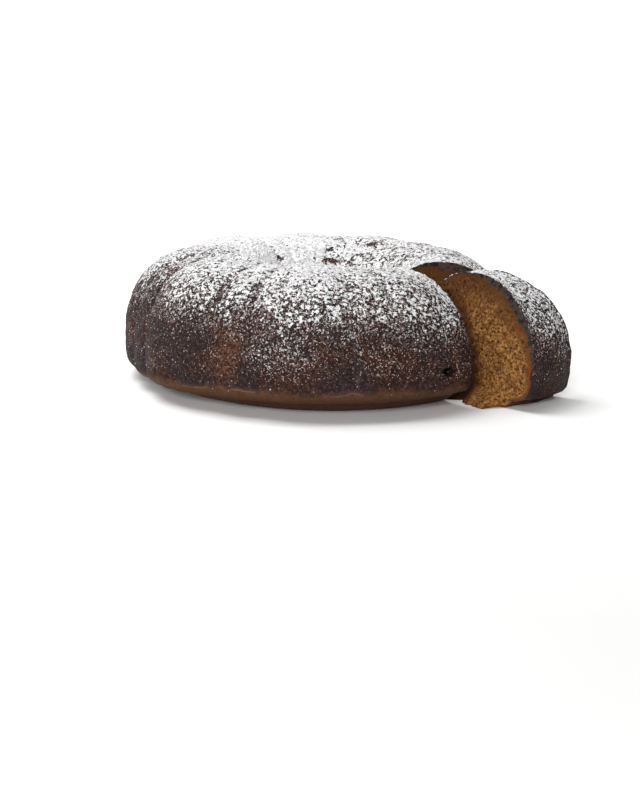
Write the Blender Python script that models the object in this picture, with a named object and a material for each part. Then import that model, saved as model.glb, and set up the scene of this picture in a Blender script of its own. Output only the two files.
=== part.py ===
"""Plum bundt cake: a fluted ring cake, with one slice cut free and drawn a little way out of it.

Metres, +Z up. The cake rests on the plane z = 0 and its origin is under the middle of its outer box.
Azimuths are in degrees round the ring's axis, counter-clockwise from +X as seen from above.
The front is -Y.
"""
import math

import bmesh
import bpy
from mathutils import Matrix, Vector, noise

# Driving dimensions of the whole ring, measured at the tops of its flutes.
RING_RADIUS = 0.1235
RING_HEIGHT = 0.0775
CREST_RADIUS = 0.0715
WIDEST_HEIGHT = 0.0170
WALL_FULLNESS = 2.45

# Close to the cut the cake has sunk a little: lower, narrower and with a leaner wall.
LEAN_RADIUS = 0.1200
LEAN_HEIGHT = 0.0721
LEAN_FULLNESS = 1.95
LEAN_MIDDLE = -25.0
LEAN_SPREAD = 55.0

# The lower edge: the crust from the pan turns in to a rim, and the risen base domes down to rest.
# The rim stands clear of the table at the front and comes down close to it everywhere else.
RIM_INSET = 0.0130
RIM_HEIGHT = 0.0078
RIM_LOW_SHARE = 0.30
RIM_FRONT_AZIMUTH = 275.0
RIM_FRONT_SPREAD = 52.0
DOME_CURVE = 1.6
REST_RADIUS = 0.0940
LEAN_REST_RADIUS = 0.0980
REST_INNER_RADIUS = 0.0380

# The hole left by the pan's tube, wider at the top.
HOLE_THROAT_RADIUS = 0.0360
HOLE_THROAT_HEIGHT = 0.0400
HOLE_FOOT_RADIUS = 0.0280
HOLE_FOOT_HEIGHT = 0.0050

# Flutes: broad rounded ones with a narrow one between each pair, deepest on the left side.
FLUTE_PAIRS = 9
FLUTE_START = 209.0
BROAD_SHARE = 0.70
BROAD_DEPTH = 0.0040
NARROW_SET_BACK = 0.0014
NARROW_DEPTH = 0.0020
FLUTE_ROUNDNESS = 0.94
FLUTE_RIM_SHARE = 0.45
FLUTE_HOLE_SHARE = 0.40
DEEPEST_AZIMUTH = 190.0
DEEPEST_EXTRA = 0.60

# The cut: where the slot in the ring begins and ends, and where the slice in it does. Some of the
# cake between the slice and the far end of the slot has been taken away already.
SLOT_FROM = -47.0
SLOT_TO = -13.0
SLICE_FROM = -47.0
SLICE_TO = -29.0

# The knife was slanted for the slice, so that its front face stands out further at the foot: by
# this much for each metre down from the top.
SLICE_SLANT = 0.12

# How the slice then lies: drawn out and turned.
SLICE_DRAWN_X = 0.0380
SLICE_DRAWN_Y = -0.0050
SLICE_TURN = -1.3

# Unevenness of a home-baked cake: it leans, its crust swells, and small crags stand on that.
LEVEL_SHARE = 0.020
HIGH_SIDE_AZIMUTH = 215.0
SWELL_SIZE = 0.055
SWELL_HEIGHT = 0.0016
CRAG_SIZE = 0.014
CRAG_HEIGHT = 0.0007
NOISE_OFFSET = Vector((3.7, 1.9, 5.3))

# How finely the solids are faceted. Two degrees lets a facet edge fall on every groove.
DOME_STEPS = 2
RIM_STEPS = 3
WALL_STEPS = 12
SHOULDER_STEPS = 7
HOLE_STEPS = 3
FOOT_STEPS = 2
BASE_STEPS = 2
DEGREES_PER_FACET = 2.0
SHARP_EDGE_DEGREES = 50.0

# Colours of the browned crust and of the cut cake, linear.
CRUST_COLOUR = (0.042, 0.022, 0.018, 1.0)
CRUST_ROUGHNESS = 0.75
CRUMB_COLOUR = (0.205, 0.085, 0.020, 1.0)
CRUMB_ROUGHNESS = 0.85


def dome_arc(rest_radius, rim_radius):
    """From where the base rests out and up to the rim, like the edge of a shallow dome."""
    points = []
    for step in range(DOME_STEPS):
        share = step / DOME_STEPS
        r = rest_radius + (rim_radius - rest_radius) * share
        z = RIM_HEIGHT * share ** DOME_CURVE
        points.append((r, z))
    return points


def rim_arc(rim_radius):
    """From the rim out to the widest place, a quarter ellipse."""
    points = []
    for step in range(RIM_STEPS):
        turn = math.pi / 2.0 * step / RIM_STEPS
        r = rim_radius + RIM_INSET * math.sin(turn)
        z = WIDEST_HEIGHT - (WIDEST_HEIGHT - RIM_HEIGHT) * math.cos(turn)
        points.append((r, z))
    return points


def wall_arc(radius, height, fullness):
    """From the widest place up to just before the crest, a quarter superellipse."""
    points = []
    for step in range(WALL_STEPS):
        turn = math.pi / 2.0 * step / WALL_STEPS
        out = math.cos(turn) ** (2.0 / fullness)
        up = math.sin(turn) ** (2.0 / fullness)
        r = CREST_RADIUS + (radius - CREST_RADIUS) * out
        z = WIDEST_HEIGHT + (height - WIDEST_HEIGHT) * up
        points.append((r, z))
    return points


def shoulder_arc(height):
    """From the crest in and down to just before the hole's throat, a quarter ellipse."""
    points = []
    for step in range(SHOULDER_STEPS):
        turn = math.pi / 2.0 * step / SHOULDER_STEPS
        r = CREST_RADIUS - (CREST_RADIUS - HOLE_THROAT_RADIUS) * math.sin(turn)
        z = HOLE_THROAT_HEIGHT + (height - HOLE_THROAT_HEIGHT) * math.cos(turn)
        points.append((r, z))
    return points


def straight(start, end, steps):
    """Points from start up to, but not with, end."""
    points = []
    for step in range(steps):
        share = step / steps
        r = start[0] + (end[0] - start[0]) * share
        z = start[1] + (end[1] - start[1]) * share
        points.append((r, z))
    return points


def cross_section(radius, height, fullness, rest_radius):
    """The ring's closed outline as (distance from the axis, height), in one turn from the base."""
    rim_radius = radius - RIM_INSET
    throat = (HOLE_THROAT_RADIUS, HOLE_THROAT_HEIGHT)
    foot = (HOLE_FOOT_RADIUS, HOLE_FOOT_HEIGHT)
    rest_inner = (REST_INNER_RADIUS, 0.0)
    rest_outer = (rest_radius, 0.0)
    points = dome_arc(rest_radius, rim_radius)
    points += rim_arc(rim_radius)
    points += wall_arc(radius, height, fullness)
    points += shoulder_arc(height)
    points += straight(throat, foot, HOLE_STEPS)
    points += straight(foot, rest_inner, FOOT_STEPS)
    points += straight(rest_inner, rest_outer, BASE_STEPS)
    return points


FULL_SECTION = cross_section(RING_RADIUS, RING_HEIGHT, WALL_FULLNESS, REST_RADIUS)
LEAN_SECTION = cross_section(LEAN_RADIUS, LEAN_HEIGHT, LEAN_FULLNESS, LEAN_REST_RADIUS)


def nearness(azimuth, middle, spread):
    """1 at the middle azimuth, falling smoothly to 0 round the ring."""
    away = (azimuth - middle + 180.0) % 360.0 - 180.0
    return math.exp(-(away / spread) ** 2)


def round_fall(across):
    """0 in the middle of a flute, rising as a rounded back does to almost 1 at its two grooves."""
    return 1.0 - math.sqrt(1.0 - FLUTE_ROUNDNESS * across ** 2)


def flute_depth(azimuth):
    """How far the crust lies behind the tops of the broad flutes at this azimuth."""
    pitch = 360.0 / FLUTE_PAIRS
    along = ((azimuth - FLUTE_START) % pitch) / pitch
    if along < BROAD_SHARE:
        across = 2.0 * along / BROAD_SHARE - 1.0
        depth = BROAD_DEPTH * round_fall(across)
    else:
        across = 2.0 * (along - BROAD_SHARE) / (1.0 - BROAD_SHARE) - 1.0
        depth = NARROW_SET_BACK + NARROW_DEPTH * round_fall(across)
    return depth * (1.0 + DEEPEST_EXTRA * math.cos(math.radians(azimuth - DEEPEST_AZIMUTH)))


def flute_share(r, height):
    """Flutes are whole on the wall and crest, and weaker at the rim and down the hole."""
    up = min(1.0, max(0.0, (height - RIM_HEIGHT) / (WIDEST_HEIGHT - RIM_HEIGHT)))
    share = FLUTE_RIM_SHARE + (1.0 - FLUTE_RIM_SHARE) * up
    if r < CREST_RADIUS:
        out = max(0.0, (r - HOLE_THROAT_RADIUS) / (CREST_RADIUS - HOLE_THROAT_RADIUS))
        share *= FLUTE_HOLE_SHARE + (1.0 - FLUTE_HOLE_SHARE) * out
    return share


def lowered_rim(height, azimuth):
    """Bring the underside of the wall down, except at the front."""
    if height >= WIDEST_HEIGHT:
        return height
    kept = nearness(azimuth, RIM_FRONT_AZIMUTH, RIM_FRONT_SPREAD)
    lowest = RIM_LOW_SHARE + (1.0 - RIM_LOW_SHARE) * kept
    return height * (lowest + (1.0 - lowest) * (height / WIDEST_HEIGHT) ** 2)


def surface_point(index, azimuth):
    """Where one point of the outline lies at this azimuth, with flutes and unevenness."""
    lean = nearness(azimuth, LEAN_MIDDLE, LEAN_SPREAD)
    full_r, full_z = FULL_SECTION[index]
    lean_r, lean_z = LEAN_SECTION[index]
    r = full_r + (lean_r - full_r) * lean
    z = full_z + (lean_z - full_z) * lean
    turn = math.radians(azimuth)
    outwards = Vector((math.cos(turn), math.sin(turn), 0.0))
    if z < HOLE_FOOT_HEIGHT:
        return outwards * r + Vector((0.0, 0.0, lowered_rim(z, azimuth)))
    place = outwards * r + Vector((0.0, 0.0, z))
    swell = SWELL_HEIGHT * noise.noise(place / SWELL_SIZE + NOISE_OFFSET)
    crag = CRAG_HEIGHT * noise.noise(place / CRAG_SIZE - NOISE_OFFSET)
    depth = flute_depth(azimuth) * flute_share(r, z) - swell - crag
    from_core = Vector((r - CREST_RADIUS, max(0.0, z - WIDEST_HEIGHT)))
    from_core.normalize()
    level = 1.0 + LEVEL_SHARE * math.cos(math.radians(azimuth - HIGH_SIDE_AZIMUTH))
    r -= depth * from_core.x
    z = lowered_rim(z, azimuth) - depth * from_core.y
    return outwards * r + Vector((0.0, 0.0, z * level))


def slanted(place, share, first, slant):
    """Push a place out past the first cut face, more so at the foot, and less away from that face."""
    turn = math.radians(first)
    aside = Vector((math.sin(turn), -math.cos(turn), 0.0))
    return place + aside * (slant * share * (LEAN_HEIGHT - place.z))


def cake_solid(name, first, last, slant, placing, material):
    """The outline spun from the first azimuth to the last, closed by a flat cut face at each end."""
    builder = bmesh.new()
    outline_index = builder.verts.layers.int.new("outline_index")
    start = math.radians(first)
    corners = []
    for index, (r, z) in enumerate(FULL_SECTION):
        corner = builder.verts.new((r * math.cos(start), r * math.sin(start), z))
        corner[outline_index] = index
        corners.append(corner)
    cut_face = builder.faces.new(corners)
    bmesh.ops.spin(
        builder,
        geom=[cut_face] + list(cut_face.edges) + corners,
        cent=(0.0, 0.0, 0.0),
        axis=(0.0, 0.0, 1.0),
        angle=math.radians(last - first),
        steps=round((last - first) / DEGREES_PER_FACET),
        use_merge=False,
        use_duplicate=False,
    )
    for corner in builder.verts:
        azimuth = math.degrees(math.atan2(corner.co.y, corner.co.x))
        place = surface_point(corner[outline_index], azimuth)
        share = (last - azimuth) / (last - first)
        corner.co = placing @ slanted(place, share, first, slant)
    bmesh.ops.recalc_face_normals(builder, faces=builder.faces[:])
    mesh = bpy.data.meshes.new(name)
    builder.to_mesh(mesh)
    builder.free()
    mesh.materials.append(material)
    mesh.shade_smooth()
    mesh.set_sharp_from_angle(angle=math.radians(SHARP_EDGE_DEGREES))
    cake = bpy.data.objects.new(name, mesh)
    bpy.context.scene.collection.objects.link(cake)
    return cake


def cake_material(name, colour, roughness):
    """A plain finish for one kind of surface."""
    material = bpy.data.materials.new(name)
    material.use_nodes = True
    shader = material.node_tree.nodes["Principled BSDF"]
    shader.inputs["Base Color"].default_value = colour
    shader.inputs["Roughness"].default_value = roughness
    shader.inputs["Metallic"].default_value = 0.0
    return material


def centre_over_origin(cakes):
    """Move the whole cake level so that the origin is under the middle of its outer box."""
    corners = [vertex.co for cake in cakes for vertex in cake.data.vertices]
    middle_x = (min(corner.x for corner in corners) + max(corner.x for corner in corners)) / 2.0
    middle_y = (min(corner.y for corner in corners) + max(corner.y for corner in corners)) / 2.0
    for cake in cakes:
        cake.data.transform(Matrix.Translation((-middle_x, -middle_y, 0.0)))


def main():
    for old in list(bpy.data.objects):
        bpy.data.objects.remove(old, do_unlink=True)
    crust = cake_material("dark_plum_crust", CRUST_COLOUR, CRUST_ROUGHNESS)
    crumb = cake_material("cut_cake", CRUMB_COLOUR, CRUMB_ROUGHNESS)
    in_place = Matrix.Identity(4)
    turned = Matrix.Rotation(math.radians(SLICE_TURN), 4, "Z")
    drawn_out = Matrix.Translation((SLICE_DRAWN_X, SLICE_DRAWN_Y, 0.0)) @ turned
    ring = cake_solid("cake_ring", SLOT_TO, SLOT_FROM + 360.0, 0.0, in_place, crust)
    piece = cake_solid("cake_slice", SLICE_FROM, SLICE_TO, SLICE_SLANT, drawn_out, crumb)
    centre_over_origin([ring, piece])


main()
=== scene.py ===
"""Looks of a plum bundt cake: dark fluted crust, cut golden crumb and a dusting of icing sugar.

Metres, +Z up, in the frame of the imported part. Azimuths are in degrees round the ring's axis,
counter-clockwise from +X as seen from above. The front is -Y.
"""
import math
from statistics import NormalDist

import bmesh
import bpy
import numpy as np
from bpy.props import FloatProperty, FloatVectorProperty, IntProperty, PointerProperty
from mathutils import Matrix, Vector, kdtree, noise


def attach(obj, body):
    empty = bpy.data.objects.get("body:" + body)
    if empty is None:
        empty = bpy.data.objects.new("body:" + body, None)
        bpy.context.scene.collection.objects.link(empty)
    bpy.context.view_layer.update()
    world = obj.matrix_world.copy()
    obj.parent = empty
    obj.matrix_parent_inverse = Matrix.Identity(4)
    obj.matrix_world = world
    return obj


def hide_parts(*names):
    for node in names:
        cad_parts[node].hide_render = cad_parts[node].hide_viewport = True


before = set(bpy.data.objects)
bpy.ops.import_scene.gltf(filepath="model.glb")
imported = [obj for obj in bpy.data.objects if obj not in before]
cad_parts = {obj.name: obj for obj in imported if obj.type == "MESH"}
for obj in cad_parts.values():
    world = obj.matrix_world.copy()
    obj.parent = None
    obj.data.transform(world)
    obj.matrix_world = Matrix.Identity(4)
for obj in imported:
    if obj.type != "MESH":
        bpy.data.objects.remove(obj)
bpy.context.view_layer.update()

bl_info = {
    "name": "Plum bundt cake",
    "version": (1, 0, 0),
    "blender": (4, 5, 0),
    "location": "View3D > Sidebar > Bundt cake",
    "description": "A sugared ring cake with one slice drawn out, and a plain studio round it",
    "category": "Add Mesh",
}

BODY = "root"
MM = 0.001
CRUST, CUT = 0, 1
SHARP_FROM = 60.0
UP = Vector((0.0, 0.0, 1.0))

# Where the ring's own axis stands in the frame.
AXIS = Vector((-0.00844, -0.00039, 0.0))

# The ring's outline, measured at the tops of its flutes. Near the cut it has sunk a little. The throat
# and the foot of the hole are given as radius and height.
WIDEST_HEIGHT = 0.0170
WALL_FULLNESS = 2.45
LEAN_RADIUS = 0.1200
LEAN_HEIGHT = 0.0721
LEAN_FULLNESS = 1.95
LEAN_MIDDLE = -25.0
LEAN_SPREAD = 55.0
RIM_INSET = 0.0130
RIM_HEIGHT = 0.0078
RIM_LOW_SHARE = 0.30
RIM_FRONT_AZIMUTH = 275.0
RIM_FRONT_SPREADS = (78.0, 90.0)
DOME_CURVE = 1.6
REST_RADIUS = 0.0940
LEAN_REST_RADIUS = 0.0980
REST_INNER_RADIUS = 0.0380
HOLE_THROAT = (0.0360, 0.0400)
HOLE_FOOT = (0.0280, 0.0050)

# Flutes: broad rounded ones with a narrow one between each pair, deepest on the left side.
FLUTE_START = 209.0
BROAD_SHARE = 0.70
NARROW_SET_BACK = 0.0014
NARROW_DEPTH = 0.0020
FLUTE_ROUNDNESS = 0.94
FLUTE_RIM_SHARE = 0.45
FLUTE_HOLE_SHARE = 0.40
DEEPEST_AZIMUTH = 190.0
DEEPEST_EXTRA = 0.60

# Unevenness. The cake leans, its crust swells, and crags, lumps and grit stand on that. Layers of noise
# are given as size, height and offset.
LEVEL_SHARE = 0.020
HIGH_SIDE_AZIMUTH = 215.0
OFFSET = Vector((3.7, 1.9, 5.3))
CRUST_RELIEF = (
    (0.0550, 0.00160, OFFSET),
    (0.0140, 0.00070, -OFFSET),
    (0.0060, 0.00045, OFFSET * 2.0),
    (0.0033, 0.00040, OFFSET * 3.0),
)

# How finely the outline is divided, stretch by stretch up the wall and down the hole. The crust is made
# in coarse columns that are then cut further, but a narrow collar beside each cut face stays whole.
DOME_STEPS, RIM_STEPS, WALL_STEPS, SHOULDER_STEPS = 12, 12, 66, 38
HOLE_STEPS, FOOT_STEPS, BASE_STEPS = 9, 3, 6
EVEN_SAMPLES = 400
COLLAR = 0.7
COLUMN_CUTS = 5

# The slot in the ring, and the far face of the slice, whose near face is the slot's first. For each
# piece: its azimuths, its coarse columns, how finely its cut faces are divided, how wide a strip beside
# each is bare of sugar, and for each the radius from which its crust is thick, and the thin tongues of
# crumb that spread from its foot, as how far and at what radius.
SLOT_FROM = -47.0
SLOT_TO = -13.0
SLICE_TO = -29.0
RING = {
    "first": SLOT_TO, "last": SLOT_FROM + 360.0, "columns": 86, "spacing": 1.1 * MM,
    "bare": (2.5 * MM, 0.5 * MM),
    "cuts": ((0.074, ()), (0.085, ((3.0 * MM, 0.080),))),
}
SLICE = {
    "first": SLOT_FROM, "last": SLICE_TO, "columns": 5, "spacing": 0.55 * MM,
    "bare": (3.4 * MM, 0.5 * MM),
    "cuts": ((0.085, ((10.0 * MM, 0.061), (10.0 * MM, 0.089))), (0.064, ())),
}

# The slice's near face stands out by SLICE_SLANT for each metre down from the top. The slice has
# settled on its outer foot, less at that face. Towards its far end its foot has spread, and its wall
# bulges.
SLICE_SLANT = 0.12
SLICE_SETTLE = 4.8 * MM
FRONT_SETTLE_SHARE = 0.6
SLICE_SPREAD = 4.2 * MM
OUTER_FOOT_RADII = (0.094, 0.106)
FAR_SHARES = (1.0, 0.35)
SPREAD_HEIGHTS = (0.014, 0.002)
SETTLED_BELOW = 0.004
SLICE_BULGE = 2.2 * MM
BULGE_HEIGHT = 0.046
BULGE_REACH = 0.018
BULGE_RADII = (0.070, 0.100)

# Cavities in the crust at the front: azimuth, height, width and height of the mouth, depth. Round the
# mouth, in half widths of it: how far finer faces reach, where its edge ends, within what it is painted
# fully dark as shade, and within what its floor is whole.
CAVITIES = (
    (-56.0, 0.0232, 7.2 * MM, 4.8 * MM, 9.0 * MM),
    (-73.0, 0.0270, 1.8 * MM, 1.8 * MM, 1.5 * MM),
)
CAVITY_DIVISIONS = 3
CAVITY_GRIT = 1.6 * MM
CAVITY_SURROUNDINGS = 2.4
CAVITY_EDGE = 1.3
CAVITY_SHADED = 0.70
CAVITY_FLOOR = 0.35

# The cut crumb: torn unevenness, and pores by the width of their cells, depth and share that is open.
CUT_RELIEF = (
    (0.0200, 0.00080, OFFSET),
    (0.0045, 0.00050, -OFFSET),
    (0.0016, 0.00040, OFFSET * 2.0),
)
PORES = (
    (0.0060, 0.00120, 0.20),
    (0.0032, 0.00100, 0.27),
    (0.0019, 0.00070, 0.30),
)
PORE_DRAW = 7.3

# The crumbling foot of a cut face: how high it reaches, how far crumbs stand out or lie back, how wide
# they are, how high the notches between them are and at which levels of noise, and the half width of a
# tongue. What is this close to the crust is held by it.
FOOT_REACH = 9.0 * MM
FOOT_OUT = 5.0 * MM
FOOT_CRUMB = 9.0 * MM
FOOT_NOTCH = 3.0 * MM
NOTCH_LEVELS = (0.10, 0.45)
TONGUE_REACH = 11.0 * MM
HELD_WITHIN = 3.0 * MM

# Thickness of the dark crust on a cut face, by the height of the nearest place on its edge, and on the
# side towards the hole, over how far it changes from the one to the other, and how wide its swells are.
CRUST_HEIGHTS = (0.004, 0.015, 0.030, 0.055)
CRUST_THICKNESSES = (0.3 * MM, 0.8 * MM, 1.8 * MM, 3.7 * MM)
INNER_THICKNESS = 0.8 * MM
THICKENS_OVER = 0.022
THICKNESS_SWELLS = 0.007

# The crumb browned more towards the top. Towards the hole, out to these radii by height and fading over
# the next stretch, it is browner and carries painted shade, placed where the ring's near end shades the
# slice's cut face. Low at the foot, inside these radii, it is painted darker still as shade in the gap
# between the pieces.
BROWNED_HEIGHTS = (0.040, 0.072)
INNER_BROWN_SHADE_HEIGHTS = (0.0, 0.030, 0.050, 0.062)
INNER_BROWN_SHADE_RADII = (0.079, 0.070, 0.062, 0.054)
INNER_BROWN_SHADE_FADE = 0.014
FOOT_SHADE_HEIGHTS = (0.014, 0.004)
FOOT_SHADE_RADII = (0.084, 0.077)

# Sugar: the share of the wall that it covers by height, where the wall leans back more and more, and
# the share of the shoulder that it covers by distance from the axis. The one goes over into the other
# this near the crest. Hardly any place is without it, but none lies on the underside or deep in the hole.
WALL_HEIGHTS = (0.012, 0.023, 0.029, 0.035, 0.041, 0.047, 0.053, 0.059, 0.065, 0.0705, 0.0765)
WALL_SHARES = (0.00, 0.00, 0.01, 0.02, 0.04, 0.09, 0.22, 0.37, 0.52, 0.66, 0.85)
SHOULDER_RADII = (0.030, 0.040, 0.050, 0.0715)
SHOULDER_SHARES = (0.60, 0.78, 0.84, 0.87)
CREST_REACH = 3.0 * MM
LEAST_SHARE = 0.008
MOST_SHARE = 0.99
LYING_TILTS = (-0.35, -0.05)
LYING_HEIGHTS = (0.008, 0.014)
HOLE_SUGARED = (0.010, 0.040)

# It lies in patches, with a ragged edge beside a cut, more on what is more level than is usual at its
# height, and more or less in drifts: azimuth, spread round the ring, height, spread in height, change.
SUGAR_PATCHES = ((0.0130, 0.10, OFFSET), (0.0050, 0.16, -OFFSET))
SUGAR_EDGE = ((0.0030, 0.45, OFFSET),)
EDGE_SUGARED = (-0.10, 1.0)
TILT_HEIGHTS = (0.020, 0.0765)
USUAL_TILTS = (0.05, 0.95)
TILT_CHANGE = 0.30
DRIFTS = (
    (258, 9, 0.036, 0.007, 0.16), (272, 10, 0.067, 0.006, 0.10), (258, 8, 0.056, 0.007, 0.09),
    (236, 9, 0.030, 0.012, -0.05), (212, 14, 0.062, 0.010, -0.08), (198, 13, 0.047, 0.014, -0.05),
    (204, 15, 0.074, 0.014, -0.24), (150, 28, 0.072, 0.020, 0.20), (177, 13, 0.0745, 0.0045, -0.24),
    (300, 30, 0.057, 0.009, 0.09), (304, 8, 0.048, 0.007, 0.15), (256, 8, 0.048, 0.006, 0.10),
    (324, 11, 0.046, 0.012, 0.27), (331, 4, 0.032, 0.010, 0.10), (313, 5, 0.066, 0.009, 0.18),
    (290, 22, 0.070, 0.010, -0.10), (108, 44, 0.070, 0.025, 0.22), (15, 40, 0.070, 0.020, -0.14),
    (87, 3, 0.0694, 0.0013, -1.20), (84, 8, 0.0628, 0.0014, -1.20),
    (130, 5, 0.0655, 0.0016, -0.90), (60, 4, 0.0729, 0.0007, -0.90),
)

# It lies thinner in the grooves over the top, and has slid off folds in the crust on the inner side
# at the back, which leaves thin curved gaps.
GROOVE_LOSS = 0.26
GROOVE_DEPTHS = (0.40, 1.0)
GROOVE_HEIGHTS = (0.050, 0.066)
FOLDS = ((0.0085, 1.0, OFFSET),)
FOLD_AZIMUTH = 62.0
FOLD_SPREAD = 42.0
FOLD_WIDTH = 0.16
FOLD_LOSS = 0.75

# The noise of the sugar's pattern spreads about its middle value as a normal distribution does.
PATTERN_MIDDLE = 0.501
PATTERN_SPREAD = 0.0808
PATTERN_TOP = 0.80

# The modelled clumps take this share of a covered surface, and less of a thinly covered one. They lie
# in small drifts of their own, and stray ones lie where the sugar's share is above STRAY_FROM. Each is
# stretched and lumpy at random, and lifted by a share of its height, and their widths vary.
CLUMP_SHARE = 0.38
CLUMP_POWER = 1.4
CLUMP_DRIFTS = ((0.0026, 1.0, OFFSET), (0.0080, 0.6, -OFFSET))
CLUMP_DRIFT_LEVELS = (-0.30, 0.30)
STRAY_FROM = 0.005
BLOB_STRETCH = (0.70, 1.35)
BLOB_LUMPS = (0.75, 1.25)
BLOB_LIFT = 0.15
WIDTH_SPREAD = 0.25

# Fine specks begin above the rim. The level that their pattern has to be above falls with the height,
# and it is higher on the slice and on the ruddy patch.
DUST_RISES = (0.007, 0.016)
DUST_LEVELS = (0.70, 0.525)
DUST_CLEAN = 0.04
CLEAN_AZIMUTH = 324.0
CLEAN_SPREAD = 12.0

# Where the smooth crust of the underside shows above the rim, how far it falls away beside that, and
# where it reaches higher up or less high: azimuth, spread round the ring, how much higher.
STRIP_AZIMUTH = 262.0
STRIP_SPREAD = 62.0
STRIP_FALL = 0.009
STRIP_LIFTS = ((224.0, 16.0, 0.002), (326.0, 10.0, -0.008))

# The bare, redder patch of crust at the left front.
RUDDY_AZIMUTH = 244.0
RUDDY_HEIGHT = 0.034
RUDDY_SPREAD = 5.2
RUDDY_REACH = 0.021

# The camera: how it stood to the cake in the photograph, which is 640 by 800 pixels.
PICTURE_HEIGHT = 800.0
FOCAL_PIXELS = 1200.0
SENSOR = 36.0
CAMERA_TARGET = Vector((-0.01159, -0.00039, 0.0))
CAMERA_DISTANCE = 0.756
CAMERA_ELEVATION = 13.42
CAMERA_ROLL = 0.34
TARGET_ABOVE_MIDDLE = 29.7

# The lights, each with the setting that gives its power, its width, and where it is and points to.
LIGHTS = (
    ("key_light", "key_watts", 0.8, (-0.55, 0.15, 1.15), (0.0, 0.0, 0.03)),
    ("fill_light", "fill_watts", 0.6, (-0.46, -1.6, 0.65), (0.0, 0.0, 0.03)),
    ("backdrop_light", "backdrop_watts", 1.6, (0.0, 0.4, 2.2), (0.0, 3.0, 1.3)),
)

# The floor: half its width, how far its middle is in front and how far below the cake, and the height
# of the backdrop and the radius between them, and how pale the duller patches of its paper are.
FLOOR_REACH = 4.0
FLOOR_FORWARD = 1.0
FLOOR_BELOW = 0.2 * MM
BACKDROP_HEIGHT = 4.0
BACKDROP_CURVE = 1.5
DULLER = 0.985


def linear(code):
    """An sRGB hex colour as linear red, green, blue and alpha."""
    channels = [int(code[place:place + 2], 16) / 255.0 for place in (1, 3, 5)]
    curved = [c / 12.92 if c <= 0.04045 else ((c + 0.055) / 1.055) ** 2.4 for c in channels]
    return (*curved, 1.0)


def colour(title, code, description):
    """A colour setting with its default given as sRGB hex."""
    return FloatVectorProperty(
        name=title, description=description, default=linear(code),
        size=4, min=0.0, max=1.0, subtype="COLOR",
    )


def length(title, default, description):
    """A length setting in metres."""
    return FloatProperty(
        name=title, description=description, default=default, min=0.0, unit="LENGTH", precision=4,
    )


def number(title, default, description):
    """A plain setting: a whole number where its default is one."""
    kind = IntProperty if isinstance(default, int) else FloatProperty
    return kind(name=title, description=description, default=default, min=0)


class CakeShape(bpy.types.PropertyGroup):
    """Driving sizes of the ring and its cut"""

    ring_radius: length("Ring radius", 0.1235, "Axis to the widest place of the crust")
    ring_height: length("Ring height", 0.0775, "Table to the crest of the ring")
    crest_radius: length("Crest radius", 0.0715, "Axis to the crest of the ring")
    broad_depth: length("Flute depth", 0.0040, "Depth of the grooves between broad flutes")
    flute_pairs: IntProperty(
        name="Flute pairs", description="Broad flutes, each with a narrow one beside it",
        default=9, min=3, max=24,
    )
    slice_drawn_x: length("Slice drawn out", 0.0380, "How far the slice stands out along X")
    slice_drawn_y: length("Slice drawn forward", 0.0050, "How far the slice stands out towards -Y")
    slice_turn: FloatProperty(
        name="Slice turn", description="How far the slice is turned from where it was cut",
        default=math.radians(-1.3), subtype="ANGLE",
    )


class CakeFinish(bpy.types.PropertyGroup):
    """Colours of crust, crumb and sugar"""

    crust_black: colour("Crust, darkest", "#1b110e", "Crust where it browned most")
    crust_brown: colour("Crust, brown", "#3e1f12", "Crust where it browned less")
    crust_plum: colour("Crust, plum", "#2d2025", "Greyish plum bloom on the crust")
    crust_shade: colour("Crust, shaded", "#1f2022", "Crust in the gaps of thick sugar")
    crust_fleck: colour("Crust, flecks", "#887772", "Paler flecks where sugar has soaked in")
    crust_ruddy: colour("Crust, ruddy", "#573220", "Redder bare patch of crust")
    base_tan: colour("Underside, tan", "#523a28", "Underside of the cake")
    base_brown: colour("Underside, brown", "#482c18", "Underside where it browned more")
    base_ridge: colour("Underside, ridge", "#6f5446", "Wrinkled border between wall and underside")
    crumb_gold: colour("Crumb, golden", "#8b5e2f", "Middle of the crumb")
    crumb_pale: colour("Crumb, pale", "#ad8650", "Torn crumbs that catch the light")
    # Also tints the crumb towards the hole, where it carries painted shade.
    crumb_brown: colour("Crumb, brown", "#53321a", "Crumb near the crust")
    crumb_red: colour("Crumb, red edge", "#7d3619", "Thin line between crust and crumb")
    # Painted shade: this dark colour stands for the shade inside pores, and at the foot in the gap
    # between the pieces.
    crumb_pore_shade: colour("Crumb, pore", "#2b1509", "Inside of a pore")
    cut_crust: colour("Cut crust", "#3d3631", "The crust where the knife went through it")
    cut_plum: colour("Cut crust, plum", "#56343a", "Plum-coloured patches in the cut crust")
    sugar_white: colour("Icing sugar", "#e9e9ea", "Icing sugar where it lies thick")
    sugar_grey: colour("Icing sugar, thin", "#a29f9e", "Icing sugar where the crust shows through it")
    sugar_dust: colour("Icing sugar, fine", "#b3a095", "Fine specks of it on the low wall")


class SugarDusting(bpy.types.PropertyGroup):
    """How coarse the icing sugar lies and how much of it there is"""

    lump_width: length("Lump width", 1.35 * MM, "Mean width of the coarsest lumps")
    clump_width: length("Clump width", 0.95 * MM, "Mean width of clumps")
    grain_width: length("Grain width", 0.65 * MM, "Mean width of grains")
    speck_width: length("Speck width", 0.47 * MM, "Mean width of the finest specks")
    lumps: number("Lumps", 900, "Number of lumps")
    clumps: number("Clumps", 5200, "Number of clumps")
    grains: number("Grains", 16500, "Number of grains")
    specks: number("Specks", 19000, "Number of specks")
    seed: number("Seed", 7, "Start of the random draws")


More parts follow.
